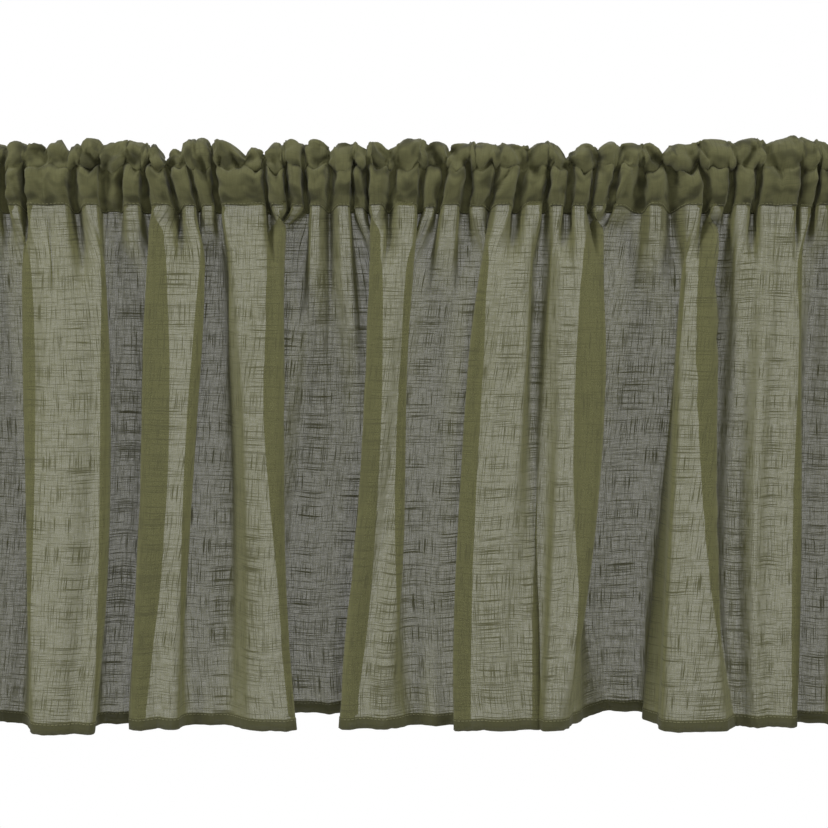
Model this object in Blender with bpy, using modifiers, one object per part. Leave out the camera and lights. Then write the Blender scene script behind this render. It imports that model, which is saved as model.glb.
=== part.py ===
"""Sheer window valance, gathered on a rod pocket.

One cut length of slub voile. Its top is turned over and sewn down as a rod pocket, and bunches up
on the rod into some forty gathers. Below the seam the gathers run out into ten deep, soft folds,
and the lower edge and both sides carry a narrow doubled hem.

+X runs along the rod, -Y faces the room and +Z is up. The origin is the middle of the top edge.
Sizes are in millimetres and become metres in the meshes.
"""

from collections import namedtuple

import bpy
import numpy as np

MM = 0.001
PART_NAME = "window_valance"

# Driving sizes
HUNG_WIDTH = 770
DROP = 450
SEAM_DROP = 53
SEAM_RIDGE_LIFT = 3
WAIST_DROP = 22
BELLY_DROP = 39
CHANNEL_DROP = 46
CLOTH_THICK = 1.0
HEM_THICK = 2.0
HEM_DEPTH = 9
SIDE_HEM = 12
VALLEY_HEM_DIP = 4
CORNER_ROUND = 9
STRIP_BULGE = 3
MIDDLE_SHARE = 0.43
PIN_DRIFT = 0.6
SEAM_GAP = 0.55

# One row a gather, left to right. seam_x and crest_x place its ridge at the seam and at the top
# edge, width is across the ridge, forward is its share of the full flute, crest_z is its height,
# dip is how deep the hollow on its right goes (1 is down to the rod), notch_z is the height of the
# top edge in that hollow, and reach is how far below the seam the gather runs out.
Gather = namedtuple("Gather", "seam_x crest_x width forward crest_z dip notch_z reach")
GATHERS = [
    Gather(*row)
    for row in (
        (-374, -374, 9, 0.9, -3, 1.0, -9, 60),
        (-356, -355, 10, 1.0, -1, 1.0, -10, 60),
        (-339, -337, 9, 1.0, -3, 1.0, -8, 70),
        (-322, -320, 8, 0.9, -2, 1.0, -9, 60),
        (-305, -302, 8, 1.0, -2, 1.0, -6, 60),
        (-288, -287, 13, 0.9, -4, 0.2, -10, 70),
        (-271, -271, 14, 1.0, -2, 1.0, -8, 100),
        (-246, -246, 11, 1.0, 0, 0.9, -5, 70),
        (-231, -227, 8, 0.7, -2, 0.9, -3, 50),
        (-215, -212, 11, 1.0, -1, 1.0, -6, 50),
        (-193, -197, 13, 1.0, -5, 1.0, -18, 60),
        (-171, -182, 8, 0.9, -8, 0.8, -11, 60),
        (-157, -163, 8, 0.9, -1, 1.0, -8, 60),
        (-139, -146, 14, 1.0, -1, 0.2, -14, 60),
        (-121, -122, 14, 1.0, -6, 1.0, -12, 60),
        (-103, -107, 10, 1.0, -4, 1.0, -5, 60),
        (-89, -93, 8, 0.9, -1, 1.0, -7, 100),
        (-75, -75, 8, 0.9, -1, 1.0, -9, 130),
        (-54, -50, 9, 0.9, -3, 0.9, -6, 130),
        (-42, -39, 7, 0.6, -4, 1.0, -9, 60),
        (-29, -28, 9, 1.0, -2, 1.0, -10, 60),
        (-6, -2, 15, 1.0, 0, 1.0, -5, 60),
        (12, 17, 7, 0.7, -2, 1.0, -9, 60),
        (28, 36, 12, 1.0, -3, 1.0, -4, 75),
        (48, 54, 10, 0.8, -4, 0.8, -4, 60),
        (68, 75, 12, 1.0, -4, 1.0, -7, 60),
        (91, 97, 12, 1.0, -2, 1.0, -4, 60),
        (109, 112, 9, 0.9, -2, 1.0, -15, 60),
        (126, 130, 9, 0.9, -4, 1.0, -7, 60),
        (142, 148, 8, 0.9, -1, 0.9, -6, 70),
        (157, 166, 8, 0.8, -3, 1.0, -6, 60),
        (184, 180, 10, 1.0, -4, 1.0, -12, 60),
        (213, 207, 13, 1.0, -4, 1.0, -6, 70),
        (232, 229, 8, 0.9, -1, 1.0, -5, 60),
        (250, 255, 11, 1.0, 0, 1.0, -5, 60),
        (269, 273, 9, 0.6, -1, 0.6, -3, 60),
        (285, 288, 12, 1.0, 0, 0.7, -2, 60),
        (299, 301, 8, 0.8, -1, 1.0, -3, 60),
        (312, 314, 9, 1.0, -1, 1.0, -7, 60),
        (327, 328, 9, 0.9, -3, 1.0, -9, 60),
        (343, 342, 10, 1.0, -1, 1.0, -8, 60),
        (359, 358, 9, 0.9, -3, 1.0, -7, 60),
        (374, 374, 9, 1.0, -2, 1.0, -8, 60),
    )
]

# One row a fold of the hanging cloth. Each entry has its value at the seam, 43% down and at the
# hem. left and right are the edges of the strip that stands forward, front and back are where that
# strip and the hollow on its right lie, and a lap is how far the hollow's cloth passes behind the
# strip's edge (less than 0 where the flank opens outwards).
Fold = namedtuple("Fold", "left right left_lap right_lap front back")
START_BACK = (4, 10, 12)
FOLDS = [
    Fold(*row)
    for row in (
        ((-369, -363, -359), (-337, -336, -335), (-6, -9, -8), (0, 5, 7), (-9, -18, -24), (4, 13, 12)),
        ((-299, -294, -284), (-237, -231, -245), (4, -4, -22), (5, 12, -3), (-9, -22, -30), (4, 14, 7)),
        ((-205, -206, -219), (-155, -166, -185), (6, 8, 9), (4, 12, -13), (-9, -16, -15), (4, 14, 5)),
        ((-142, -131, -127), (-97, -101, -89), (-5, -10, -14), (7, 13, 11), (-9, -18, -20), (4, 22, 36)),
        ((-35, -37, -58), (3, -6, -20), (5, 11, 11), (4, 5, -19), (-9, -16, -12), (4, 12, 4)),
        ((56, 39, 33), (94, 83, 86), (4, 8, 10), (3, 6, 0), (-9, -18, -20), (4, 2, -14)),
        ((108, 107, 98), (146, 143, 112), (0, 0, -2), (6, 11, -17), (-9, -18, -20), (4, 22, 38)),
        ((207, 195, 185), (235, 229, 238), (5, 3, -8), (4, 5, 0), (-9, -20, -24), (4, 12, 6)),
        ((248, 243, 256), (296, 298, 290), (0, 0, -4), (1, 1, -4), (-9, -10, -4), (4, 12, 8)),
        ((332, 328, 322), (361, 357, 353), (0, 4, -1), (-6, -10, -12), (-9, -18, -22), (4, 10, 10)),
    )
]

# The pocket's round, from the seam up the front, over the top edge and down the back. y is given
# in a hollow and on a full ridge. drop is the height below the origin, and climb is how much of
# the way from the waist to the top edge the row stands.
PocketRow = namedtuple("PocketRow", "hollow_y ridge_y drop climb")
POCKET_ROWS = [
    PocketRow(-7, -20, BELLY_DROP, 0),
    PocketRow(-7, -14, WAIST_DROP, 0),
    PocketRow(-8, -17, WAIST_DROP, 0.55),
    PocketRow(0, -3, WAIST_DROP, 1),
    PocketRow(7, 13, WAIST_DROP, 0.55),
    PocketRow(7, 12, WAIST_DROP, 0),
    PocketRow(7, 17, BELLY_DROP, 0),
    PocketRow(5, 5, CHANNEL_DROP, 0),
]
SEAM_HOLLOW_Y = 3
SEAM_RIDGE_Y = -10

# How far down the hanging cloth each row of the loft lies, as a share of the way to the hem
PANEL_SHARES = (0, 0.035, 0.08, 0.15, 0.25, 0.42, 0.68, 0.945)

# What a column of the cloth carries down from the heading
Column = namedtuple("Column", "seam_x crest_x ridge crest_z reach")


def mix(low, high, share):
    return low + (high - low) * share


def at_share(values, share):
    """The value at a share of the way down, on a parabola through the three given ones."""
    top, middle, hem = values
    m = MIDDLE_SHARE
    return (
        top * (share - m) * (share - 1) / m
        + middle * share * (share - 1) / (m * (m - 1))
        + hem * share * (share - m) / (1 - m)
    )


def gather_columns():
    """Five columns a gather: foot, edge, ridge, edge, foot, with one more at each side edge."""
    first, last = GATHERS[0], GATHERS[-1]
    half = HUNG_WIDTH / 2
    columns = [Column(-half, -half, 0, first.notch_z - 2, first.reach)]
    for index, gather in enumerate(GATHERS):
        before = GATHERS[index - 1] if index else None
        after = GATHERS[index + 1] if gather is not last else None
        wide = gather.width / 2
        left_room = gather.seam_x - wide - (before.seam_x + before.width / 2 if before else -half)
        right_room = (after.seam_x - after.width / 2 if after else half) - gather.seam_x - wide
        left_notch = before.notch_z if before else gather.notch_z
        left_dip = before.dip if before else 1
        crest_left = (gather.crest_x - (before.crest_x if before else -half)) / 2
        crest_right = ((after.crest_x if after else half) - gather.crest_x) / 2
        shoulder = gather.crest_z - 1.5
        top = gather.forward
        columns += [
            Column(
                gather.seam_x - wide - 0.28 * left_room,
                gather.crest_x - 0.88 * crest_left,
                top * (1 - left_dip),
                left_notch,
                gather.reach,
            ),
            Column(
                gather.seam_x - wide, gather.crest_x - 0.6 * crest_left, 0.93 * top, shoulder, gather.reach
            ),
            Column(gather.seam_x, gather.crest_x, top, gather.crest_z, gather.reach),
            Column(
                gather.seam_x + wide, gather.crest_x + 0.6 * crest_right, 0.93 * top, shoulder, gather.reach
            ),
            Column(
                gather.seam_x + wide + 0.28 * right_room,
                gather.crest_x + 0.88 * crest_right,
                top * (1 - gather.dip),
                gather.notch_z,
                gather.reach,
            ),
        ]
    columns.append(Column(half, half, 0, last.notch_z - 2, last.reach))
    return columns


def seam_line(columns):
    """The seam's run, in plan: one x, y a column."""
    return np.array([(c.seam_x, mix(SEAM_HOLLOW_Y, SEAM_RIDGE_Y, c.ridge)) for c in columns])


def lengths_along(points):
    """The length along a line up to each of its points."""
    steps = np.linalg.norm(np.diff(points, axis=0), axis=1)
    return np.concatenate([[0], np.cumsum(steps)])


def fold_corners(share):
    """The corners of the folds in plan at one height, and which of them are middles of strips."""
    half = HUNG_WIDTH / 2
    corners = [(-half, at_share(START_BACK, share))]
    middles = []
    back = at_share(START_BACK, share)
    for index, fold in enumerate(FOLDS):
        left, right = at_share(fold.left, share), at_share(fold.right, share)
        front = at_share(fold.front, share)
        corners.append((left + at_share(fold.left_lap, share), back))
        corners.append((left, front))
        middles.append(len(corners))
        corners.append(((left + right) / 2, front - STRIP_BULGE))
        corners.append((right, front))
        back = at_share(fold.back, share)
        far_left = right - at_share(fold.right_lap, share)
        corners.append((far_left, back))
        if index + 1 < len(FOLDS):
            after = FOLDS[index + 1]
            far_right = at_share(after.left, share) + at_share(after.left_lap, share)
            middles.append(len(corners))
            corners.append(((far_left + far_right) / 2, back + STRIP_BULGE))
    corners.append((half, back))
    return np.array(corners), middles


def rounded(corners, pins):
    """The line through the corners with each one rounded, and the place of each pin on it."""
    line = [corners[0]]
    places = [0]
    for index in range(1, len(corners) - 1):
        before, corner, after = corners[index - 1 : index + 2]
        way_in, way_out = before - corner, after - corner
        cut_in = min(CORNER_ROUND, 0.45 * np.linalg.norm(way_in))
        cut_out = min(CORNER_ROUND, 0.45 * np.linalg.norm(way_out))
        start = corner + way_in * cut_in / np.linalg.norm(way_in)
        end = corner + way_out * cut_out / np.linalg.norm(way_out)
        for share in (0, 0.25, 0.5, 0.75, 1):
            if share == 0.5 and index in pins:
                places.append(len(line))
            line.append(start * (1 - share) ** 2 + 2 * corner * share * (1 - share) + end * share**2)
    places.append(len(line))
    line.append(corners[-1])
    return np.array(line), places


def fold_line(cloth, pin_cloth, share):
    """The folds in plan at one height: x, y for each length of cloth, spread evenly between pins.

    Lower down, the pins themselves drift to where the cloth would lie spread evenly all along.
    """
    corners, pins = fold_corners(share)
    line, places = rounded(corners, pins)
    along = lengths_along(line)
    even = along[places] * cloth[-1] / along[-1]
    wanted = np.interp(cloth, mix(pin_cloth, even, PIN_DRIFT * share), along[places])
    return np.column_stack([np.interp(wanted, along, line[:, k]) for k in (0, 1)])


def pinned_cloth(seam, cloth):
    """How far along the cloth each pin lies: under the middle of its strip, as it is at the seam."""
    corners, pins = fold_corners(0)
    middles = np.interp(corners[pins, 0], seam[:, 0], cloth)
    return np.concatenate([[0], middles, [cloth[-1]]])


def panel_points(columns, shares):
    """The hanging cloth's points, one row for each share of the way down."""
    seam = seam_line(columns)
    cloth = lengths_along(seam)
    pin_cloth = pinned_cloth(seam, cloth)
    start = fold_line(cloth, pin_cloth, 0)
    ridge = np.array([c.ridge for c in columns])
    reach = np.array([c.reach for c in columns])
    top = -SEAM_DROP + mix(-SEAM_RIDGE_LIFT, SEAM_RIDGE_LIFT, ridge) - SEAM_GAP
    rows = []
    for share in shares:
        line = fold_line(cloth, pin_cloth, share)
        fall = np.clip(share * (DROP - SEAM_DROP) / reach, 0, 1)
        fade = (1 - fall) ** 2 * (1 + 2 * fall)
        place = line + fade[:, None] * (seam - start)
        depth = np.clip((line[:, 1] + 20) / 40, 0, 1)
        hem = -DROP + VALLEY_HEM_DIP / 2 - VALLEY_HEM_DIP * depth
        rows.append(np.column_stack([place, mix(top, hem, share)]))
    return rows


def pocket_lines(columns):
    """The pocket's lines: the seam, each row round from front to back, and the end of the channel."""
    seam = seam_line(columns)
    ridge = np.array([c.ridge for c in columns])
    crest_x = np.array([c.crest_x for c in columns])
    crest_z = np.array([c.crest_z for c in columns])
    seam_z = -SEAM_DROP + mix(-SEAM_RIDGE_LIFT, SEAM_RIDGE_LIFT, ridge)
    rows = []
    for row in POCKET_ROWS:
        y = mix(row.hollow_y, row.ridge_y, ridge)
        z = mix(-row.drop, crest_z, row.climb)
        up = (z - seam_z) / (crest_z - seam_z)
        rows.append(np.column_stack([mix(seam[:, 0], crest_x, up), y, z]))
    seam = np.column_stack([seam, seam_z])
    down = (CHANNEL_DROP - BELLY_DROP) / (-BELLY_DROP - seam_z)
    front = mix(rows[0], seam, down[:, None])
    return seam, rows, (front + rows[-1]) / 2


def outward(rows):
    """The unit normals of the points of lines that go up the front and round to the back."""
    grid = np.array(rows)
    round_way, along = np.gradient(grid, axis=0), np.gradient(grid, axis=1)
    across = np.cross(along, round_way)
    return across / np.linalg.norm(across, axis=2)[:, :, None]


def quads(upper, lower):
    """The faces between two lines of point numbers."""
    pairs = zip(upper, upper[1:], lower[1:], lower)
    return [tuple(int(number) for number in pair) for pair in pairs]


def add_sheet(name, points, faces, material, collection):
    mesh = bpy.data.meshes.new(name)
    mesh.from_pydata([tuple(point * MM) for point in points], [], faces)
    mesh.shade_smooth()
    mesh.materials.append(material)
    sheet = bpy.data.objects.new(name, mesh)
    collection.objects.link(sheet)
    return sheet


def cloth_material(name, colour):
    material = bpy.data.materials.new(name)
    material.use_nodes = True
    shader = material.node_tree.nodes["Principled BSDF"]
    shader.inputs["Base Color"].default_value = (*colour, 1)
    shader.inputs["Roughness"].default_value = 0.9
    shader.inputs["Metallic"].default_value = 0.0
    return material


def make_heading(columns, collection):
    """The rod pocket: a bunched tube of cloth, open at both ends, its two layers sewn at the seam."""
    seam, rows, channel_end = pocket_lines(columns)
    count = len(columns)
    half = CLOTH_THICK / 2
    out = outward([seam] + rows + [seam]) * half
    seam_out = out[0] * (1, 1, 0)
    outside = [seam + seam_out] + [row + out[k + 1] for k, row in enumerate(rows)] + [seam - seam_out]
    inside = [row - out[k + 1] for k, row in enumerate(rows[:-1])] + [channel_end]
    points = np.concatenate(outside + inside)
    numbers = np.arange(len(points)).reshape(-1, count)
    outer, inner = numbers[: len(outside)], numbers[len(outside) :]
    faces = []
    for k, line in enumerate(outer):
        faces += quads(line, outer[(k + 1) % len(outer)])
    for k, line in enumerate(inner):
        faces += [(a, d, c, b) for a, b, c, d in quads(line, inner[(k + 1) % len(inner)])]
    for end, turn in ((0, -1), (count - 1, 1)):
        ring_out, ring_in = outer[:, end].tolist(), inner[:, end].tolist()
        rim = [(ring_out[k + 1], ring_out[k], ring_in[k - 1], ring_in[k]) for k in range(1, len(rows))]
        rim.append((ring_out[1], ring_out[0], ring_in[-1], ring_in[0]))
        rim.append((ring_out[0], ring_out[-1], ring_out[-2], ring_in[-1]))
        faces += [face[::turn] for face in rim]
    material = cloth_material("olive_voile_doubled", (0.085, 0.088, 0.042))
    return add_sheet("heading", points, faces, material, collection)


def make_panel(columns, collection):
    """The single layer that hangs from the seam, with its lower and side hems."""
    hem_top = 1 - HEM_DEPTH / (DROP - SEAM_DROP)
    rows = panel_points(columns, PANEL_SHARES + (hem_top, 1))
    count = len(columns)
    numbers = np.arange(len(rows) * count).reshape(-1, count)
    faces = []
    for line, below in zip(numbers, numbers[1:]):
        faces += quads(line, below)
    material = cloth_material("olive_voile_sheer", (0.22, 0.225, 0.15))
    sheet = add_sheet("panel", np.concatenate(rows), faces, material, collection)
    cloth = lengths_along(seam_line(columns))
    side = np.minimum(cloth, cloth[-1] - cloth) < SIDE_HEM
    doubled = set(numbers[-2:].ravel().tolist()) | set(numbers[:, side].ravel().tolist())
    group = sheet.vertex_groups.new(name="doubled_hem")
    group.add(sorted(doubled), 1.0, "REPLACE")
    solid = sheet.modifiers.new("cloth_thickness", "SOLIDIFY")
    solid.thickness = HEM_THICK * MM
    solid.offset = 0
    solid.vertex_group = group.name
    solid.thickness_vertex_group = CLOTH_THICK / HEM_THICK
    return sheet


def main():
    for old in list(bpy.data.objects):
        bpy.data.objects.remove(old, do_unlink=True)
    collection = bpy.data.collections.new(PART_NAME)
    bpy.context.scene.collection.children.link(collection)
    columns = gather_columns()
    make_heading(columns, collection)
    make_panel(columns, collection)


if __name__ == "__main__":
    main()
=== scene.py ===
"""Looks of a sheer olive window valance, gathered on a rod pocket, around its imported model.

The cloth follows tables of gathers and folds like those of the solids, on a finer net: a thin
closed sheet for the hanging cloth, and another round the rod pocket with creases pressed in its
front. Both have a woven, slubby, see-through material that follows the cloth, and a row of stitches
runs along the seam and along the hem.

+X runs along the rod, -Y faces the room and +Z is up. Tables are in millimetres, as in the solids.
"""

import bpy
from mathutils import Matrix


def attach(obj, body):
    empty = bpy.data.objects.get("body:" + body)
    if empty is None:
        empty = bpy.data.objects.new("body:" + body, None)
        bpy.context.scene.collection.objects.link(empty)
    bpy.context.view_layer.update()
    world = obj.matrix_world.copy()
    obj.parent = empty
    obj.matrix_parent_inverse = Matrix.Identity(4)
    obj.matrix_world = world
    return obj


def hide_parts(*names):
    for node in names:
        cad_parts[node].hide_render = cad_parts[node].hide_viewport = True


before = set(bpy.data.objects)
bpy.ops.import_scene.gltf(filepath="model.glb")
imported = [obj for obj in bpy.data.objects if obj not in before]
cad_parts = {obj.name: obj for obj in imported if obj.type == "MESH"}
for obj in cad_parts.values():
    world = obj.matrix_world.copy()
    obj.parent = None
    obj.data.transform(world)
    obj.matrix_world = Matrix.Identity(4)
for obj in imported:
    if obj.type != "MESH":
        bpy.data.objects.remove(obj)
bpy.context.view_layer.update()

import math
from collections import namedtuple

import bpy
import numpy as np
from mathutils import Vector

bl_info = {
    "name": "Window valance",
    "version": (1, 0, 0),
    "blender": (4, 5, 0),
    "location": "3D View > Sidebar > Valance",
    "description": "Makes the cloth, stitches and studio of a sheer gathered window valance",
    "category": "Add Mesh",
}

MM = 0.001
BODY = "root"


def table(kind, *rows):
    return [kind(*row) for row in rows]


# Driving sizes of the cloth: how it is cut, sewn and gathered
HUNG_WIDTH = 770
DROP = 450
SEAM_DROP = 53
SEAM_RIDGE_LIFT = 3
WAIST_DROP = 22
HEM_DEPTH = 9
SIDE_HEM = 12
VALLEY_HEM_DIP = 4
CORNER_ROUND = 5
STRIP_BULGE = 3
FOOT_SHARE = 0.26
WAIST_TOOTH = 1.2
MIDDLE_SHARE = 0.43
PIN_DRIFT = 0.6
GATHER_SHARE = 0.75
SEAM_HOLLOW_Y = 3
SEAM_RIDGE_Y = -10
LAYER_APART = 0.6

# How fine the nets are, how close the rows of the hanging cloth lie near the seam and at the sharp
# step of its hem, how far its first row is tucked up, how a fold's corner is rounded, and the most
# that a flank may count as turned
COLUMN_STEPS = 3
PANEL_ROWS = 60
POCKET_STEPS = 3
ROW_CLOSENESS = 1.15
ABOVE_HEM = 0.004
HEM_STEP = 0.001
SEAM_TUCK = 3
CORNER_REACH = 0.45
CORNER_POINTS = 13
MOST_TURN = 5

# Where the rows of sewing run, and a stitch's shape: its body and each end as shares of its length,
# its tips and its lift off the cloth as shares of its thickness
SEAM_STITCH_LIFT = 2.0
HEM_STITCH_DROP = 1.2
STITCH_SIDES = 6
STITCH_BODY = 0.7
STITCH_END = 0.15
STITCH_TIP = 0.45
STITCH_LIFT = 0.2

# A gather's columns: how much its lean moves its feet, where its feet and edges lie on the way to
# the next gather at the top edge, and how far forward an edge stands beside the ridge
LEAN_SHARE = 0.9
CREST_FOOT = 0.88
CREST_EDGE = 0.6
EDGE_FORWARD = 0.93

# One row a gather, left to right. seam_x and crest_x place its ridge at the seam and at the top
# edge, width is across the ridge, forward is its share of the full flute, lean says which of its
# flanks is steep (-1 the left, 1 the right), dip is how deep the hollow on its right goes (1 is down
# to the rod) and reach is how far below the seam the gather runs out.
Gather = namedtuple("Gather", "seam_x crest_x width forward lean dip reach")
GATHERS = table(
    Gather,
    (-374, -374, 9, 0.9, 0.3, 1, 60),
    (-356, -355, 10, 1, -0.5, 1, 60),
    (-339, -337, 9, 1, 0.6, 1, 70),
    (-322, -320, 8, 0.9, 0.4, 1, 60),
    (-305, -302, 8, 1, -0.7, 1, 60),
    (-288, -287, 13, 1, -0.6, 0.07, 70),
    (-271, -271, 14, 1, 0.5, 1, 100),
    (-246, -246, 11, 1, 0.8, 0.9, 70),
    (-231, -227, 8, 0.15, 0, 0.9, 50),
    (-215, -212, 11, 1, 0.7, 1, 90),
    (-193, -197, 13, 1, -0.5, 1, 22),
    (-171, -182, 8, 0.9, 0.6, 0.8, 60),
    (-157, -163, 8, 0.9, 0.7, 1, 60),
    (-139, -146, 14, 1, -0.7, 0.07, 60),
    (-121, -122, 14, 1, 0.6, 1, 60),
    (-103, -107, 10, 1, 0.5, 1, 22),
    (-89, -93, 8, 0.9, 0.6, 1, 26),
    (-75, -75, 8, 0.9, -0.4, 1, 220),
    (-54, -50, 9, 0.9, 0.8, 0.9, 220),
    (-42, -39, 7, 0.6, -0.8, 1, 60),
    (-29, -28, 9, 1, -0.3, 1, 22),
    (-6, -2, 15, 1, 0.7, 1, 60),
    (12, 17, 7, 0.7, 0.5, 1, 60),
    (28, 36, 12, 1, 0.5, 1, 120),
    (48, 54, 10, 0.8, -0.8, 0.8, 60),
    (68, 75, 12, 1, 0.7, 1, 60),
    (91, 97, 12, 1, 0.8, 1, 60),
    (109, 112, 9, 0.9, 0.8, 1, 60),
    (126, 130, 9, 0.9, -0.5, 1, 60),
    (142, 148, 8, 0.9, 0.7, 0.9, 22),
    (157, 166, 8, 0.8, -0.8, 1, 26),
    (184, 180, 10, 1, -0.5, 1, 130),
    (213, 207, 13, 1, 0.7, 1, 70),
    (232, 229, 8, 0.9, 0.4, 1, 24),
    (250, 255, 11, 1, -0.6, 1, 60),
    (269, 273, 11, 0.95, -0.5, 0.1, 60),
    (285, 288, 12, 1, 0.2, 0.7, 60),
    (299, 301, 8, 0.8, 0.5, 1, 60),
    (312, 314, 9, 1, -0.5, 1, 60),
    (327, 328, 9, 0.9, 0.6, 1, 60),
    (343, 342, 10, 1, -0.4, 1, 60),
    (359, 358, 9, 0.9, 0.5, 1, 60),
    (374, 374, 9, 1, -0.3, 1, 60),
)

# One row a fold of the hanging cloth. Each entry has its value at the seam, 43% down and at the
# hem. left and right are the edges of the strip that stands forward, front and back are where that
# strip and the hollow on its right lie, and a lap is how far the hollow's cloth passes behind the
# strip's edge (less than 0 where the flank opens outwards).
Fold = namedtuple("Fold", "left right left_lap right_lap front back")
START_BACK = (4, 10, 12)
FOLDS = table(
    Fold,
    ((-369, -363, -359), (-337, -336, -335), (-6, -9, -8), (0, 5, 7), (-9, -18, -24), (4, 13, 12)),
    ((-299, -296, -286), (-237, -231, -245), (2, 2, -16), (5, 12, -3), (-9, -22, -25), (4, 14, 9)),
    ((-205, -208, -220), (-155, -166, -185), (14, 17, 13), (6, 10, -13), (-9, -16, -10), (4, 14, 4)),
    ((-142, -131, -127), (-95, -98, -88), (-5, -10, -14), (20, 18, 12), (-9, -18, -14), (4, 22, 38)),
    ((-35, -41, -59), (3, -5, -20), (11, 17, 16), (6, 10, -17), (-9, -16, -8), (4, 10, 2)),
    ((56, 36, 30), (94, 83, 86), (6, 13, 15), (3, -6, -12), (-9, -18, -14), (4, -5, -10)),
    ((108, 107, 98), (146, 142, 110), (-3, -9, -9), (14, 18, -34), (-9, -18, -16), (4, 22, 42)),
    ((207, 196, 189), (235, 230, 236), (8, 5, -8), (15, 12, -10), (-9, -20, -18), (4, 4, 0)),
    ((248, 246, 258), (296, 297, 290), (-4, -12, -10), (1, 3, -4), (-9, -8, -2), (4, 12, 10)),
    ((332, 328, 322), (361, 357, 353), (0, 4, -1), (-6, -10, -12), (-9, -18, -22), (4, 10, 10)),
)

# One row a puff of the top edge, above the rod: where the notch on its left is and how high the
# edge lies there, where its peak is and how high that is, how far forward it bulges, and how deep
# the crease is below it, where the cloth is drawn in at the waist.
Puff = namedtuple("Puff", "notch_x notch_z peak_x peak_z forward crease")
PUFFS = table(
    Puff,
    (-386, -9, -374, -3, 0.9, 0.6),
    (-365, -9, -355, -1, 1, 0.8),
    (-346, -10, -337, -3, 0.9, 0.5),
    (-328, -8, -320, -2, 1, 0.7),
    (-311, -8, -303, -1.5, 1, 0.3),
    (-296, -5.5, -287, -3, 0.7, 0.5),
    (-282, -10, -272, -1, 1, 0.2),
    (-264, -10.5, -258, -4, 0.7, 0.8),
    (-254, -5.5, -247, 1.5, 0.9, 1),
    (-238, -4.5, -233, -3, 0.7, 0.6),
    (-229, -3.5, -217, -1.5, 1, 0.5),
    (-202, -5.5, -198, -4.5, 0.6, 0.4),
    (-190, -19, -183, -7.5, 0.7, 0.7),
    (-178, -10.5, -172, 0.5, 0.9, 0.3),
    (-167, -1.5, -161, 1, 1, 0.4),
    (-155, -7, -149, 1, 1, 0.3),
    (-129, -14.5, -123, -5.5, 0.8, 0.9),
    (-115, -12.5, -106, -3, 0.9, 0.5),
    (-101, -4, -93, 0, 0.9, 0.4),
    (-84, -5.5, -77, -1, 1, 0.5),
    (-64, -8.5, -49, -2.5, 1, 0.2),
    (-36, -7.5, -31, -1.5, 0.8, 0.6),
    (-21, -10, 0, 1, 1, 0.2),
    (11, -4.5, 18, -1.5, 0.7, 0.8),
    (27, -9, 40, -2.5, 1, 0.2),
    (58, -4, 72, -3.5, 0.9, 0.5),
    (89, -7, 103, -1.5, 1, 0.3),
    (117, -15.5, 131, -3, 0.8, 0.8),
    (141, -8.5, 150, -1, 0.9, 0.2),
    (157, -5.5, 165, -2.5, 0.7, 0.5),
    (172, -5.5, 179, -3, 0.8, 1),
    (189, -11.5, 204, -3, 1, 1),
    (212, -4.5, 229, 0, 1, 0.5),
    (244, -4, 256, 1, 1, 0.2),
    (270, -4, 288, 1.5, 1, 0.2),
    (303, -1, 311, -1, 0.8, 0.4),
    (320, -7, 328, -3, 0.9, 0.7),
    (335, -9, 342, -1, 1, 0.5),
    (350, -8, 358, -3, 0.9, 0.8),
    (366, -7, 374, -2, 1, 0.5),
    (386, -9, 392, -9, 0.5, 0.5),
)
# How a puff rounds off towards its notches: how far from a notch, how high over it a puff has to be
# for its full fall and for its slimmest peak, the least share of the fall, and the two curves
PUFF_ROUND = 6
FULL_NOTCH = 8
DEEP_NOTCH = 12
LEAST_FALL = 0.3
FALL_CURVE = 2.2
PUFF_FULLNESS = (2.8, 1.5)

# The pocket's round, from the seam up the front, over the top edge and down the back. y is given
# in a hollow and on a full ridge. level is -1 at the seam, 0 at the waist, where the cloth is drawn
# in under the puffs, and 1 at the top edge. puff is how far the row follows the puffs and not the
# gathers below them, and crease is how far a ridge is drawn in where its crease is deepest.
PocketRow = namedtuple("PocketRow", "hollow_y ridge_y level puff crease")
POCKET_ROWS = [
    PocketRow(-2, -14, -0.85, 0, 0),
    PocketRow(-7, -19.5, -0.62, 0, 0),
    PocketRow(-8.5, -21.5, -0.38, 0, 0.2),
    PocketRow(-8.5, -21.5, -0.18, 0.1, 1.2),
    PocketRow(-8.5, -20.5, -0.06, 0.25, 4),
    PocketRow(-8, -19.5, 0, 0.45, 7.5),
    PocketRow(-8.5, -19.5, 0.08, 0.7, 4),
    PocketRow(-9, -20, 0.25, 0.95, 1),
    PocketRow(-9, -20, 0.5, 1, 0),
    PocketRow(-6.5, -16, 0.76, 1, 0),
    PocketRow(-4, -10, 0.93, 1, 0),
    PocketRow(0, -3, 1, 1, 0),
    PocketRow(4, 5, 0.93, 1, 0),
    PocketRow(7, 12, 0.55, 1, 0),
    PocketRow(8, 10.5, 0, 0.5, 0),
    PocketRow(8.3, 16, -0.4, 0, 0),
    PocketRow(6, 12, -0.8, 0, 0),
]

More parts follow.
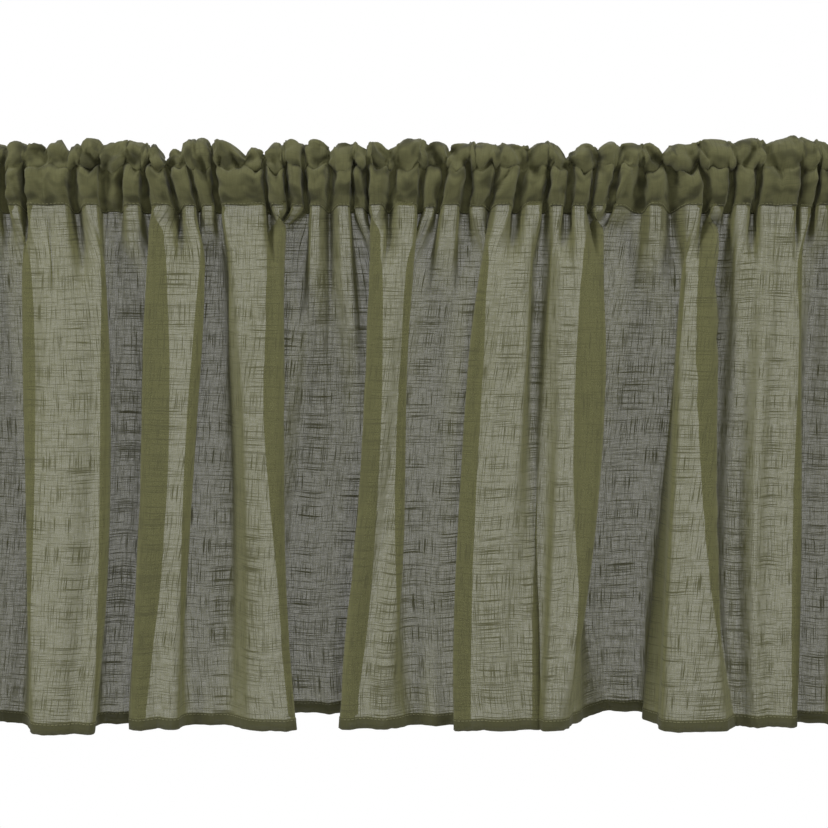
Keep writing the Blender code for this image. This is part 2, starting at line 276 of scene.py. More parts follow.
# One row a crease or a soft fold pressed in the front of the pocket: where its line starts and ends,
# how far it spreads to the left and to the right, and how far it stands forward (less than 0 where
# it is a trough).
Crease = namedtuple("Crease", "start_x start_z end_x end_z left right forward")
CREASES = table(
    Crease,
    (-142, -7, -136, -18, 3, 5, -7),
    (-73, -9, -66, -20, 4, 6, -8),
    (-52, -6, -47, -18, 3, 4, -6),
    (-23, -9, -10, -19, 5, 7, -9),
    (31, -9, 38, -18, 5, 4, -9),
    (77, -7, 83, -19, 3, 4, -7),
    (114, -9, 120, -20, 3, 4, -7),
    (134, -7, 143, -24, 5, 3, -7),
    (159, -6, 164, -15, 3, 3, -6),
    (176, -4, 181, -14, 3, 4, -7),
    (188, -18, 200, -26, 6, 5, -6),
    (217, -3, 221, -13, 3, 3, -6),
    (91, -27, 93, -47, 7, 7, -4.5),
    (-378, -8, -372, -24, 4, 4, 2.5),
    (-362, -18, -366, -46, 3, 3, -3),
    (-350, -8, -344, -24, 3, 5, 3),
    (-331, -14, -326, -40, 2, 3, -4),
    (-316, -10, -322, -44, 3, 2, 2.5),
    (-292, -6, -303, -27, 4, 2, 3.5),
    (-303, -27, -296, -48, 4, 2, 3.5),
    (-299, -22, -296, -46, 2, 3, -5),
    (-287, -12, -272, -16, 5, 6, -10),
    (-265, -4, -262, -24, 8, 2, 3),
    (-291, -19, -292, -30, 2, 5, 2),
    (-254, -7, -251, -22, 5, 4, 3.5),
    (-246, -12, -240, -17, 4, 3, -8),
    (-244, -5, -236, -17, 3, 2, 3),
    (-236, -20, -235, -48, 6, 2, 2),
    (-226, -20, -228, -48, 5, 5, 4),
    (-224, -12, -211, -16, 6, 5, -9),
    (-190, -7, -204, -28, 2, 6, 4),
    (-205, -30, -205, -50, 2, 3, -4),
    (-182, -14, -187, -25, 4, 3, -7),
    (-178, -9, -175, -20, 6, 6, 3),
    (-167, -14, -170, -48, 2, 4, 3),
    (-162, -16, -152, -49, 2, 3, -5.5),
    (-147, -14, -150, -49, 2, 2, -5.5),
    (-145, -3, -118, -13, 5, 7, 3),
    (-125, -14, -107, -16, 4, 5, -9),
    (-141, -25, -143, -47, 5, 8, 1.8),
    (-122, -24, -119, -44, 9, 9, -2.5),
    (-103, -16, -103, -46, 8, 2, 2.5),
    (-106, -17, -99, -49, 2, 3, -3.5),
    (-96, -22, -94, -50, 2, 2, -4.5),
    (-91, -9, -88, -48, 3, 3, 3),
    (-84, -7, -74, -24, 3, 3, 3),
    (-80, -12, -74, -19, 4, 3, -7),
    (-67, -20, -69, -47, 5, 5, 4.5),
    (-50, -12, -48, -50, 6, 2, 2.5),
    (-36, -11, -46, -28, 2, 4, 4),
    (-46, -28, -38, -50, 2, 4, 4),
    (-38, -22, -37, -40, 2, 2, -3.5),
    (0, -4, -8, -15, 10, 8, 2.5),
    (-12, -20, -14, -47, 8, 12, -6),
    (2, -18, 12, -50, 2, 4, 3.5),
    (18, -34, 16, -51, 2, 2, -5),
    (13, -8, 24, -25, 3, 4, -8),
    (18, -5, 31, -24, 2, 4, 3.5),
    (37, -16, 34, -42, 4, 2, 3),
    (40, -16, 46, -50, 2, 2, -5),
    (73, -24, 52, -51, 2, 3, -5.5),
    (57, -14, 49, -44, 9, 9, 3.5),
    (76, -16, 66, -48, 3, 3, 2.5),
    (79, -20, 77, -50, 2, 2, -4),
    (88, -12, 95, -26, 6, 6, -8),
    (104, -16, 97, -50, 2, 2, -6),
    (108, -14, 107, -46, 3, 3, 2),
    (117, -19, 114, -40, 4, 2, -5),
    (128, -9, 131, -22, 6, 6, 3.5),
    (146, -6, 143, -46, 3, 3, 3),
    (149, -36, 146, -51, 2, 2, -5),
    (158, -4, 167, -14, 5, 4, 2.5),
    (171, -7, 150, -48, 4, 3, 4.5),
    (176, -24, 166, -51, 3, 5, -5),
    (188, -4, 204, -20, 6, 6, 4),
    (209, -13, 211, -23, 4, 4, -7),
    (217, -22, 230, -54, 2, 3, -6),
    (219, -14, 228, -46, 2, 3, 3.5),
    (245, -6, 235, -49, 3, 3, 3.5),
    (258, -8, 252, -18, 4, 3, -8),
    (260, -21, 255, -40, 2, 3, -4.5),
    (269, -9, 276, -22, 5, 6, -7),
    (288, -18, 288, -49, 8, 2, 2.5),
    (293, -18, 294, -48, 2, 4, -3.5),
    (304, -14, 300, -46, 3, 4, 3),
    (316, -12, 320, -44, 3, 2, 2.5),
    (324, -7, 330, -24, 3, 5, 3),
    (350, -14, 344, -44, 2, 3, -4),
    (366, -9, 362, -26, 4, 4, 3),
)
# No crease comes nearer to the rod than this, and they fade out towards the back and at the seam
CHANNEL_FRONT = -7.8
FRONT_FADE = (3, -6)
CREASE_FOOT = (-2, 6)

# Small waves of the cloth: the seed of their draw, how many there are, the shortest and the longest,
# how far they slant, and their height
Wrinkles = namedtuple("Wrinkles", "seed count shortest longest slant height")
BELOW_SEAM = Wrinkles(11, 5, 9, 21, 0.05, 0.6)
HANGING = Wrinkles(23, 6, 26, 80, 0.12, 2.0)
HEM_PUCKERS = Wrinkles(37, 6, 7, 24, 0.3, 0.22)
WAIST_WAVER = Wrinkles(43, 6, 14, 60, 0, 3)
CRUMPLE_ALONG = Wrinkles(51, 7, 9, 26, 0.9, 0.5)
CRUMPLE_ROUND = Wrinkles(57, 5, 9, 26, 0.7, 0.35)
FINE_CRUMPLE = Wrinkles(61, 7, 5.5, 12, 0.9, 0.3)

# Where waves fade in or out, down from the seam or round the pocket, how far the hem's puckers lift
# it, where the map's height turns from level to down the cloth, how much deeper the puffs crumple
# than the pocket below them, and the depth of fold that the hem's dip spans each way
BELOW_SEAM_FADE = (130, 12)
SEAM_START = (0, 10)
HANGING_FADE = (20, 120)
PUCKER_FADE = (365, 392)
HEM_LIFT_FADE = (380, 395)
HEM_LIFT = 0.12
LEVEL_FADE = (150, 380)
POCKET_END = (0, 6)
PUFF_START = (26, 42)
PUFF_CRUMPLE = (1.6, 0.6 / 0.35)
FOLD_DEPTH = 20


def mix(low, high, share):
    return low + (high - low) * share


def smooth_step(low, high, value):
    share = np.clip((value - low) / (high - low), 0, 1)
    return share * share * (3 - 2 * share)


def smooth_curve(values, steps):
    """Values on a smooth curve through the given ones, steps spans for each of theirs."""
    values = np.asarray(values, dtype=float)
    before = 2 * values[:1] - values[1:2]
    after = 2 * values[-1:] - values[-2:-1]
    line = np.concatenate([before, values, after])
    a, b, c, d = line[:-3], line[1:-2], line[2:-1], line[3:]
    spans = []
    for step in range(steps):
        t = step / steps
        square = (2 * a - 5 * b + 4 * c - d) * t**2
        cube = (3 * b - a - 3 * c + d) * t**3
        spans.append(0.5 * (2 * b + (c - a) * t + square + cube))
    smooth = np.stack(spans, axis=1).reshape((-1,) + values.shape[1:])
    return np.concatenate([smooth, values[-1:]])


def at_share(values, share):
    """The value at a share of the way down, on a parabola through the three given ones."""
    top, middle, hem = values
    m = MIDDLE_SHARE
    return (
        top * (share - m) * (share - 1) / m
        + middle * share * (share - 1) / (m * (m - 1))
        + hem * share * (share - m) / (1 - m)
    )


def wrinkled(along, down, wrinkles):
    """How far mixed, slightly slanted waves lift the cloth, always the same for one seed."""
    draw = np.random.default_rng(wrinkles.seed)
    total = 0
    for _ in range(wrinkles.count):
        length = draw.uniform(wrinkles.shortest, wrinkles.longest)
        slant = wrinkles.slant * draw.uniform(-1, 1)
        phase = draw.uniform(0, 2 * math.pi)
        total = total + np.sin(2 * math.pi * (along + slant * down) / length + phase)
    return wrinkles.height * total / math.sqrt(wrinkles.count)


# What the columns of the cloth carry down from the heading, each an array along the cloth
Columns = namedtuple("Columns", "seam_x crest_x ridge waist reach")


def gather_columns(steps):
    """Five columns a gather: foot, edge, ridge, edge, foot, then steps smooth spans for each."""
    half = HUNG_WIDTH / 2
    columns = [(-half, -half, 0, 0, GATHERS[0].reach)]
    for index, gather in enumerate(GATHERS):
        before = GATHERS[index - 1] if index else None
        after = GATHERS[index + 1] if index + 1 < len(GATHERS) else None
        left, right = gather.seam_x - gather.width / 2, gather.seam_x + gather.width / 2
        left_room = left - (before.seam_x + before.width / 2 if before else -half)
        right_room = (after.seam_x - after.width / 2 if after else half) - right
        left_foot = left - FOOT_SHARE * (1 + LEAN_SHARE * gather.lean) * left_room
        right_foot = right + FOOT_SHARE * (1 - LEAN_SHARE * gather.lean) * right_room
        left_dip = before.dip if before else 1
        crest = gather.crest_x
        crest_left = (crest - (before.crest_x if before else -half)) / 2
        crest_right = ((after.crest_x if after else half) - crest) / 2
        top, reach = gather.forward, gather.reach
        columns += [
            (left_foot, crest - CREST_FOOT * crest_left, top * (1 - left_dip), 0, reach),
            (left, crest - CREST_EDGE * crest_left, EDGE_FORWARD * top, 1, reach),
            (gather.seam_x, crest, top, -1, reach),
            (right, crest + CREST_EDGE * crest_right, EDGE_FORWARD * top, 1, reach),
            (right_foot, crest + CREST_FOOT * crest_right, top * (1 - gather.dip), 0, reach),
        ]
    columns.append((half, half, 0, 0, GATHERS[-1].reach))
    return Columns(*smooth_curve(columns, steps).T)


def crest_profile(crest_x):
    """Along the top edge: its height, how far forward the puffs stand, and their creases."""
    height = np.zeros(len(crest_x))
    forward = np.zeros(len(crest_x))
    crease = np.interp(crest_x, [puff.peak_x for puff in PUFFS], [puff.crease for puff in PUFFS])
    for puff, after in zip(PUFFS, PUFFS[1:]):
        inside = (crest_x >= puff.notch_x) & (crest_x < after.notch_x)
        x = crest_x[inside]
        rising = x < puff.peak_x
        notch_x = np.where(rising, puff.notch_x, after.notch_x)
        notch_z = np.where(rising, puff.notch_z, after.notch_z)
        share = np.abs(x - notch_x) / np.abs(puff.peak_x - notch_x)
        fullness = mix(*PUFF_FULLNESS, np.clip((puff.peak_z - notch_z) / DEEP_NOTCH, 0, 1))
        height[inside] = mix(notch_z, puff.peak_z, 1 - (1 - share) ** fullness)
        fall = np.clip((puff.peak_z - notch_z) / FULL_NOTCH, LEAST_FALL, 1)
        near = np.clip(np.abs(x - notch_x) / PUFF_ROUND, 0, 1)
        forward[inside] = puff.forward * (1 - fall * (1 - near) ** FALL_CURVE)
    return height, forward, crease


def pressed(grid):
    """The pocket's net with its creases pressed in the front, short of the rod's channel."""
    x, y, z = grid[:, :, 0], grid[:, :, 1], grid[:, :, 2]
    forward = 0
    for crease in CREASES:
        way = np.array([crease.end_x - crease.start_x, crease.end_z - crease.start_z])
        from_x, from_z = x - crease.start_x, z - crease.start_z
        share = np.clip((from_x * way[0] + from_z * way[1]) / way.dot(way), 0, 1)
        off_x, off_z = from_x - share * way[0], from_z - share * way[1]
        spread = np.where(off_x < 0, crease.left, crease.right)
        forward = forward + crease.forward * np.exp(-(off_x**2 + off_z**2) / spread**2)
    front = smooth_step(*FRONT_FADE, y) * smooth_step(*CREASE_FOOT, z + SEAM_DROP)
    bent = np.minimum(y - front * forward, np.maximum(y, CHANNEL_FRONT))
    return np.dstack([x, bent, z])


def seam_line(columns):
    """The seam's run, in plan."""
    return np.column_stack([columns.seam_x, mix(SEAM_HOLLOW_Y, SEAM_RIDGE_Y, columns.ridge)])


def seam_height(columns):
    return -SEAM_DROP + mix(-SEAM_RIDGE_LIFT, SEAM_RIDGE_LIFT, columns.ridge)


def lengths_along(points):
    """The length along a line up to each of its points."""
    steps = np.linalg.norm(np.diff(points, axis=0), axis=1)
    return np.concatenate([[0], np.cumsum(steps)])


def fold_corners(share):
    """The corners of the folds in plan at one height, and which of them are middles of strips."""
    half = HUNG_WIDTH / 2
    back = at_share(START_BACK, share)
    corners = [(-half, back)]
    middles = []
    for index, fold in enumerate(FOLDS):
        left, right = at_share(fold.left, share), at_share(fold.right, share)
        front = at_share(fold.front, share)
        corners.append((left + at_share(fold.left_lap, share), back))
        corners.append((left, front))
        middles.append(len(corners))
        corners.append(((left + right) / 2, front - STRIP_BULGE))
        corners.append((right, front))
        back = at_share(fold.back, share)
        far_left = right - at_share(fold.right_lap, share)
        corners.append((far_left, back))
        if index + 1 < len(FOLDS):
            after = FOLDS[index + 1]
            far_right = at_share(after.left, share) + at_share(after.left_lap, share)
            middles.append(len(corners))
            corners.append(((far_left + far_right) / 2, back + STRIP_BULGE))
    corners.append((half, back))
    return np.array(corners), middles


def rounded(corners, pins):
    """The line through the corners with each one rounded, and the place of each pin on it."""
    line = [corners[0]]
    places = [0]
    for index in range(1, len(corners) - 1):
        before, corner, after = corners[index - 1 : index + 2]
        way_in, way_out = before - corner, after - corner
        cut_in = min(CORNER_ROUND, CORNER_REACH * np.linalg.norm(way_in))
        cut_out = min(CORNER_ROUND, CORNER_REACH * np.linalg.norm(way_out))
        start = corner + way_in * cut_in / np.linalg.norm(way_in)
        end = corner + way_out * cut_out / np.linalg.norm(way_out)
        for share in np.linspace(0, 1, CORNER_POINTS):
            if share == 0.5 and index in pins:
                places.append(len(line))
            line.append(start * (1 - share) ** 2 + 2 * corner * share * (1 - share) + end * share**2)
    places.append(len(line))
    line.append(corners[-1])
    return np.array(line), places


def fold_line(cloth, pin_cloth, share):
    """The folds in plan at one height: x, y for each length of cloth, spread evenly between pins.

    Lower down, the pins themselves drift to where the cloth would lie spread evenly all along.
    """
    corners, pins = fold_corners(share)
    line, places = rounded(corners, pins)
    along = lengths_along(line)
    even = along[places] * cloth[-1] / along[-1]
    wanted = np.interp(cloth, mix(pin_cloth, even, PIN_DRIFT * share), along[places])
    return np.column_stack([np.interp(wanted, along, line[:, k]) for k in (0, 1)])


def pinned_cloth(seam, cloth):
    """How far along the cloth each pin lies: at the middle of its strip, as at the seam."""
    corners, pins = fold_corners(0)
    middles = np.interp(corners[pins, 0], seam[:, 0], cloth)
    return np.concatenate([[0], middles, [cloth[-1]]])


def surface_normals(grid):
    """The unit normals of a net of points, over its rows and columns."""
    across = np.cross(np.gradient(grid, axis=1), np.gradient(grid, axis=0))
    return across / np.linalg.norm(across, axis=2)[:, :, None]


def panel_grid(columns, shares, tuck):
    """The hanging cloth's points, with its small wrinkles, its first row tucked up at the seam."""
    seam = seam_line(columns)
    cloth = lengths_along(seam)
    pin_cloth = pinned_cloth(seam, cloth)
    start = fold_line(cloth, pin_cloth, 0)
    top = seam_height(columns)
    rows = []
    for share in shares:
        below = max(share, 0)
        line = fold_line(cloth, pin_cloth, below)
        fall = np.clip(below * (DROP - SEAM_DROP) / (GATHER_SHARE * columns.reach), 0, 1)
        fade = (1 - fall) ** 2 * (1 + 2 * fall)
        place = line + fade[:, None] * (seam - start)
        depth = np.clip((line[:, 1] + FOLD_DEPTH) / (2 * FOLD_DEPTH), 0, 1)
        hem = -DROP + VALLEY_HEM_DIP / 2 - VALLEY_HEM_DIP * depth
        height = mix(top, hem, below)
        rows.append(np.column_stack([place, height + (tuck if share < 0 else 0)]))
    grid = np.array(rows)
    along, down = np.meshgrid(cloth, np.maximum(shares, 0) * (DROP - SEAM_DROP))
    gathered = wrinkled(along, down, BELOW_SEAM) * smooth_step(*BELOW_SEAM_FADE, down)
    gathered = gathered * smooth_step(*SEAM_START, down)
    hanging = wrinkled(along, down, HANGING) * smooth_step(*HANGING_FADE, down)
    puckers = wrinkled(along, down, HEM_PUCKERS) * smooth_step(*PUCKER_FADE, down)
    lift = gathered + hanging + puckers
    grid = grid + surface_normals(grid) * lift[:, :, None]
    grid[:, :, 2] += HEM_LIFT / HEM_PUCKERS.height * puckers * smooth_step(*HEM_LIFT_FADE, down)
    level = -(grid[:, :, 2] + SEAM_DROP)
    return grid, along, mix(level, down, smooth_step(*LEVEL_FADE, down)), down


def pocket_grid(columns, steps):
    """The rod pocket's points, from the seam up the front, over the top and down the back."""
    seam = seam_line(columns)
    seam_z = seam_height(columns)
    cloth = lengths_along(seam)
    front = np.column_stack([seam[:, 0], seam[:, 1] - LAYER_APART, seam_z])
    behind = np.column_stack([seam[:, 0], seam[:, 1] + LAYER_APART, seam_z])
    rows = [front]
    crest_z, puffs, creases = crest_profile(columns.crest_x)
    waist_z = -WAIST_DROP + WAIST_TOOTH * columns.waist
    waist_z = waist_z + wrinkled(cloth, 0, WAIST_WAVER)
    for row in POCKET_ROWS:
        share = mix(columns.ridge, puffs, row.puff)
        y = mix(row.hollow_y, row.ridge_y + row.crease * creases, share)
        z = mix(waist_z, seam_z, -row.level) if row.level < 0 else mix(waist_z, crest_z, row.level)
        up = (z - seam_z) / (crest_z - seam_z)
        rows.append(np.column_stack([mix(seam[:, 0], columns.crest_x, up), y, z]))
    rows.append(behind)
    grid = pressed(smooth_curve(np.array(rows), steps))
    steps_round = np.linalg.norm(np.diff(grid, axis=0), axis=2).mean(axis=1)
    round_way = np.concatenate([[0], np.cumsum(steps_round)])
    along, round_way = np.meshgrid(cloth, round_way)
    above = smooth_step(*PUFF_START, round_way)
    lift = mix(1, PUFF_CRUMPLE[0], above) * wrinkled(along, round_way, CRUMPLE_ALONG)
    lift = lift + mix(1, PUFF_CRUMPLE[1], above) * wrinkled(round_way, along, CRUMPLE_ROUND)
    lift = lift + wrinkled(along, round_way, FINE_CRUMPLE)
    for from_end in (round_way, round_way.max() - round_way):
        lift = lift * smooth_step(*POCKET_END, from_end)
    return grid + surface_normals(grid) * lift[:, :, None], along, round_way


def mesh_from_grid(name, grid, along, down, material):
    """A sheet through a net of points.

    Its UV map holds the place in the flat cloth, in metres. Its attribute turn is how much longer
    the way through the cloth is, from front to back, where a flank runs back between two strips.
    """
    rows, count = grid.shape[:2]
    numbers = np.arange(rows * count).reshape(rows, count)
    faces = np.stack(
        [numbers[:-1, :-1], numbers[:-1, 1:], numbers[1:, 1:], numbers[1:, :-1]], axis=-1
    ).reshape(-1, 4)
    mesh = bpy.data.meshes.new(name)
    mesh.from_pydata((grid.reshape(-1, 3) * MM).tolist(), [], faces.tolist())
    flat = np.column_stack([along.ravel(), -down.ravel()]) * MM
    layer = mesh.uv_layers.new(name="cloth")
    layer.data.foreach_set("uv", flat[faces.ravel()].ravel())
    facing = np.abs(surface_normals(grid)[:, :, 1]).ravel()
    turn = mesh.attributes.new("turn", "FLOAT", "POINT")
    turn.data.foreach_set("value", 1 / np.clip(facing, 1 / MOST_TURN, 1))
    mesh.shade_smooth()
    mesh.materials.append(material)
    sheet = bpy.data.objects.new(name, mesh)
    bpy.context.collection.objects.link(sheet)
    return sheet


def select_only(thing):
    bpy.ops.object.select_all(action="DESELECT")
    thing.select_set(True)
    bpy.context.view_layer.objects.active = thing


def rises(grid):
    """The way from a net's first row to each of its points, along its column."""
    steps = np.linalg.norm(np.diff(grid, axis=0), axis=2)
    return np.concatenate([np.zeros((1, grid.shape[1])), np.cumsum(steps, axis=0)])


def line_across(values, way, at):
    """The values of a net along the line where the way down its columns is at."""
    line = [
        [np.interp(at, way[:, column], values[:, column, k]) for k in range(3)]
        for column in range(values.shape[1])
    ]
    return np.array(line)


def thicken(sheet, thickness, group_weights=None):
    """Gives a sheet its thickness, less of it outside the named group, and applies that."""
    solid = sheet.modifiers.new("cloth_thickness", "SOLIDIFY")
    solid.thickness = thickness
    solid.offset = 0
    if group_weights is not None:
        group = sheet.vertex_groups.new(name="hem")
        for weight in np.unique(group_weights):
            members = np.nonzero(group_weights == weight)[0].tolist()
            group.add(members, float(weight), "REPLACE")
        solid.vertex_group = group.name
    select_only(sheet)
    bpy.ops.object.modifier_apply(modifier=solid.name)


# The spacing of the node editor's columns and rows
NODE_SPACE = (180, 160)


def feed(tree, made, inputs):
    """Gives a node's inputs, by name or number, their values or the sockets that drive them."""
    for name, value in inputs.items():
        if isinstance(value, bpy.types.NodeSocket):
            tree.links.new(value, made.inputs[name])
        else:
            made.inputs[name].default_value = value


def node(tree, kind, place, inputs, **settings):
    """A shader node at a place in the editor, with its properties set by name."""
    made = tree.nodes.new(kind)
    made.location = (place[0] * NODE_SPACE[0], place[1] * NODE_SPACE[1])
    for name, value in settings.items():
        setattr(made, name, value)
    feed(tree, made, inputs)
    return made


def math_node(tree, operation, place, first, second, clamp=False):
    settings = {"operation": operation, "use_clamp": clamp}
    return node(tree, "ShaderNodeMath", place, {0: first, 1: second}, **settings).outputs[0]


def range_node(tree, place, value, low, high, to_low=0.0, to_high=1.0):
    ends = {"From Min": low, "From Max": high, "To Min": to_low, "To Max": to_high}
    return node(tree, "ShaderNodeMapRange", place, {"Value": value, **ends}, clamp=True).outputs[0]


def flat_noise(tree, place, flat, turns, detail=0.0):
    inputs = {"Vector": flat, "Scale": turns, "Detail": detail}
    made = node(tree, "ShaderNodeTexNoise", place, inputs, noise_dimensions="2D")
    return made.outputs["Fac"]


def streaks(tree, place, flat, turns, detail=0.0):
    """Noise on the flat cloth, scaled apart along and across, in turns a metre."""
    scaled = node(tree, "ShaderNodeMapping", place, {"Vector": flat, "Scale": (*turns, 1)})
    return flat_noise(tree, (place[0] + 1, place[1]), scaled.outputs[0], 1, detail)


def colour_mix(tree, place, first, second, share):
    inputs = {"A": first, "B": second, "Factor": share}
    return node(tree, "ShaderNodeMix", place, inputs, data_type="RGBA").outputs["Result"]


def shaded(colour, share):
    return (*[share * part for part in colour], 1)


def new_material(name):
    """A material, its nodes and its shader."""
    material = bpy.data.materials.new(name)
    material.use_nodes = True
    return material, material.node_tree, material.node_tree.nodes["Principled BSDF"]


# A cloth's looks: its share of the full colour (lower on the pocket, as painted shade), how much of
# what is behind it one face covers, the share of that colour in a hem (darker, partly for the denser
# cloth and partly as painted shade) and how much more a hem covers, how much more a slub covers, how
# dark a slub is (1 is fully the slubs' colour), the sheen, and how far the soft dark patches of
# painted shade reach, for the shadows of folds where the layer behind bunches up.
Weave = namedtuple("Weave", "shade cover hem_shade hem_cover slub_cover slub_mark sheen mottle")
# On the hanging cloth the low hem is darker, at 0.5 of the colour, partly for its denser turned
# cloth and partly as painted shade
SHEER = Weave(1.02, 0.65, 0.5, 0.25, 0.24, 0.75, 0.1, 0.0)
# The pocket's colour is held at 0.8 of the full colour as painted shade for its gathered cloth
DOUBLED = Weave(0.8, 0.88, 1.0, 0.0, 0.06, 0.35, 0.12, 0.85)

# The weave's noises: turns a metre along and across the flat cloth, and between which of its values
# a slub or a patch of painted shade begins and is full
Noise = namedtuple("Noise", "turns begins full")
WEFT_SLUBS = Noise((26, 1600), 0.66, 0.75)
WARP_SLUBS = Noise((1600, 44), 0.68, 0.76)
SHADE_PATCHES = Noise((62, 75), 0.47, 0.72)
SHADE_PATCH_DETAIL = 1.0
# How dark a patch of painted shade makes the colour, as a share of the cloth's colour
SHADE_PATCH_TONE = 0.38

# Slubs are more frequent in some areas than in others, yarns drift from a straight run by some
# millimetres, and the fine yarns in between change the cover a little
SLUBBY_TURNS = (9, 12)
SLUBBY_LEAN = 0.1
DRIFT_TURNS = 22
DRIFT_WAY = 0.0022
FINE_WEFT = (150, 1300)
FINE_WARP = (1300, 130)
FINE_COVER = 0.12

# How soft a hem's edge is, in millimetres, and the surface of the cloth
HEM_EDGE = 0.3
RELIEF = 0.35
RELIEF_DEPTH = 0.0003
CLOTH_ROUGHNESS = 0.9
CLOTH_SHINE = 0.2
SHEEN_ROUGHNESS = 0.5


def drifting(tree, flat):
    """Places on the flat cloth, moved a little, so that no yarn runs quite straight."""
    drift = flat_noise(tree, (-11, 2), flat, DRIFT_TURNS)
    inputs = {0: drift, 1: (DRIFT_WAY, -DRIFT_WAY, 0), 2: flat}
    drifted = node(tree, "ShaderNodeVectorMath", (-10, 1), inputs, operation="MULTIPLY_ADD")
    return drifted.outputs[0]


def slub_nodes(tree, flat):
    """How far a place lies in a slub, either way of the cloth."""
    slubby = math_node(tree, "SUBTRACT", (-7, 3), streaks(tree, (-8, 3), flat, SLUBBY_TURNS), 0.5)
    lean = math_node(tree, "MULTIPLY", (-6, 3), slubby, SLUBBY_LEAN)
    ways = []
    for row, noise in ((2, WEFT_SLUBS), (1, WARP_SLUBS)):
        streak = math_node(tree, "ADD", (-5, row), streaks(tree, (-8, row), flat, noise.turns), lean)
        ways.append(range_node(tree, (-4, row), streak, noise.begins, noise.full))
    return math_node(tree, "MAXIMUM", (-3, 2), *ways)


def hem_nodes(tree, flat):
    """The low hem alone, and both hems."""
    place = node(tree, "ShaderNodeSeparateXYZ", (-8, -2), {0: flat})
    top = -(DROP - SEAM_DROP - HEM_DEPTH)
    ends = (top + HEM_EDGE) * MM, (top - HEM_EDGE) * MM
    low_hem = range_node(tree, (-6, -2), place.outputs["Y"], *ends)
    ends = (SIDE_HEM + HEM_EDGE) * MM, (SIDE_HEM - HEM_EDGE) * MM
    side_hem = range_node(tree, (-6, -3), place.outputs["X"], *ends)
    return low_hem, math_node(tree, "MAXIMUM", (-4, -2), low_hem, side_hem)


def voile_material(name, colour, slub_colour, weave):
    """Slub voile: uneven yarns both ways, darker and closer in a slub, and doubled in a hem."""
    material, tree, shader = new_material(name)
    straight_flat = node(tree, "ShaderNodeUVMap", (-12, 0), {}, uv_map="cloth").outputs["UV"]
    flat = drifting(tree, straight_flat)
    slubs = slub_nodes(tree, flat)
    weft, warp = streaks(tree, (-8, 0), flat, FINE_WEFT), streaks(tree, (-8, -1), flat, FINE_WARP)
    fine = math_node(tree, "SUBTRACT", (-4, 0), math_node(tree, "ADD", (-5, 0), weft, warp), 1.0)
    low_hem, hems = hem_nodes(tree, straight_flat)

    # How much of what is behind it a place covers: more where the cloth runs from front to back
    fine_cover = math_node(tree, "MULTIPLY", (-4, 0.5), fine, FINE_COVER)
    woven = math_node(tree, "ADD", (-3, 0), fine_cover, weave.cover)
    slub_cover = math_node(tree, "MULTIPLY", (-3, 1), slubs, weave.slub_cover)
    slubby = math_node(tree, "ADD", (-2, 1), woven, slub_cover)
    doubled = math_node(tree, "MULTIPLY", (-3, -2), hems, weave.hem_cover)
    straight = math_node(tree, "ADD", (-1, 0), slubby, doubled, clamp=True)
    turn = node(tree, "ShaderNodeAttribute", (-3, -4), {}, attribute_name="turn").outputs["Fac"]
    open_share = math_node(tree, "SUBTRACT", (-1, -1), 1.0, straight)
    let_through = math_node(tree, "POWER", (-1, -3), open_share, turn)
    alpha = math_node(tree, "SUBTRACT", (0, 0), 1.0, let_through, clamp=True)

    # Its colour, times the cloth's share, which is lower on the pocket as painted shade: darker in
    # slubs, in soft patches of painted shade on the doubled cloth, and in the low hem, partly for
    # its denser cloth and partly as painted shade
    plain, dark = shaded(colour, weave.shade), shaded(slub_colour, weave.shade)
    slub_share = math_node(tree, "MULTIPLY", (-3, 4), slubs, weave.slub_mark)
    tint = colour_mix(tree, (-2, 3), plain, dark, slub_share)
    # Soft patches of painted shade on the doubled cloth, for the shadows of folds where the layer
    # behind bunches up
    patches = streaks(tree, (-8, 6), flat, SHADE_PATCHES.turns, SHADE_PATCH_DETAIL)
    shade_mask = range_node(tree, (-6, 6), patches, SHADE_PATCHES.begins, SHADE_PATCHES.full)
    shade_share = math_node(tree, "MULTIPLY", (-3, 6), shade_mask, weave.mottle)
    patch = shaded(colour, SHADE_PATCH_TONE * weave.shade)
    tint_with_shade = colour_mix(tree, (-1.5, 4), tint, patch, shade_share)
    # The low hem's darker colour: partly its denser cloth, partly painted shade
    tint = colour_mix(tree, (-1, 3), tint_with_shade, shaded(colour, weave.hem_shade), low_hem)

    relief = math_node(tree, "ADD", (-2, -1), slubs, fine)
    inputs = {"Strength": RELIEF, "Distance": RELIEF_DEPTH, "Height": relief}
    bump = node(tree, "ShaderNodeBump", (-1, -2), inputs)
    looks = {
        "Base Color": tint,
        "Alpha": alpha,
        "Normal": bump.outputs["Normal"],
        "Roughness": CLOTH_ROUGHNESS,
        "Specular IOR Level": CLOTH_SHINE,
        "Sheen Weight": weave.sheen,
        "Sheen Roughness": SHEEN_ROUGHNESS,
    }
    feed(tree, shader, looks)
    return material


def plain_material(name, colour, roughness):
    material, tree, shader = new_material(name)
    feed(tree, shader, {"Base Color": (*colour, 1), "Roughness": roughness})
    return material


# Sewing thread: its roughness, how often its colour changes in a metre, and its darkest and palest
THREAD_ROUGHNESS = 0.7
THREAD_TURNS = 260
THREAD_SHADES = (0.75, 1.2)


def thread_material(name, colour):
    """Sewing thread: matt, with its colour a little uneven from stitch to stitch."""
    material, tree, shader = new_material(name)
    place = node(tree, "ShaderNodeTexCoord", (-5, 0), {}).outputs["Object"]
    inputs = {"Vector": place, "Scale": THREAD_TURNS}
    noise = node(tree, "ShaderNodeTexNoise", (-4, 0), inputs).outputs["Fac"]
    dark, pale = [shaded(colour, share) for share in THREAD_SHADES]
    tint = colour_mix(tree, (-2, 0), dark, pale, noise)
    feed(tree, shader, {"Base Color": tint, "Roughness": THREAD_ROUGHNESS})
    return material


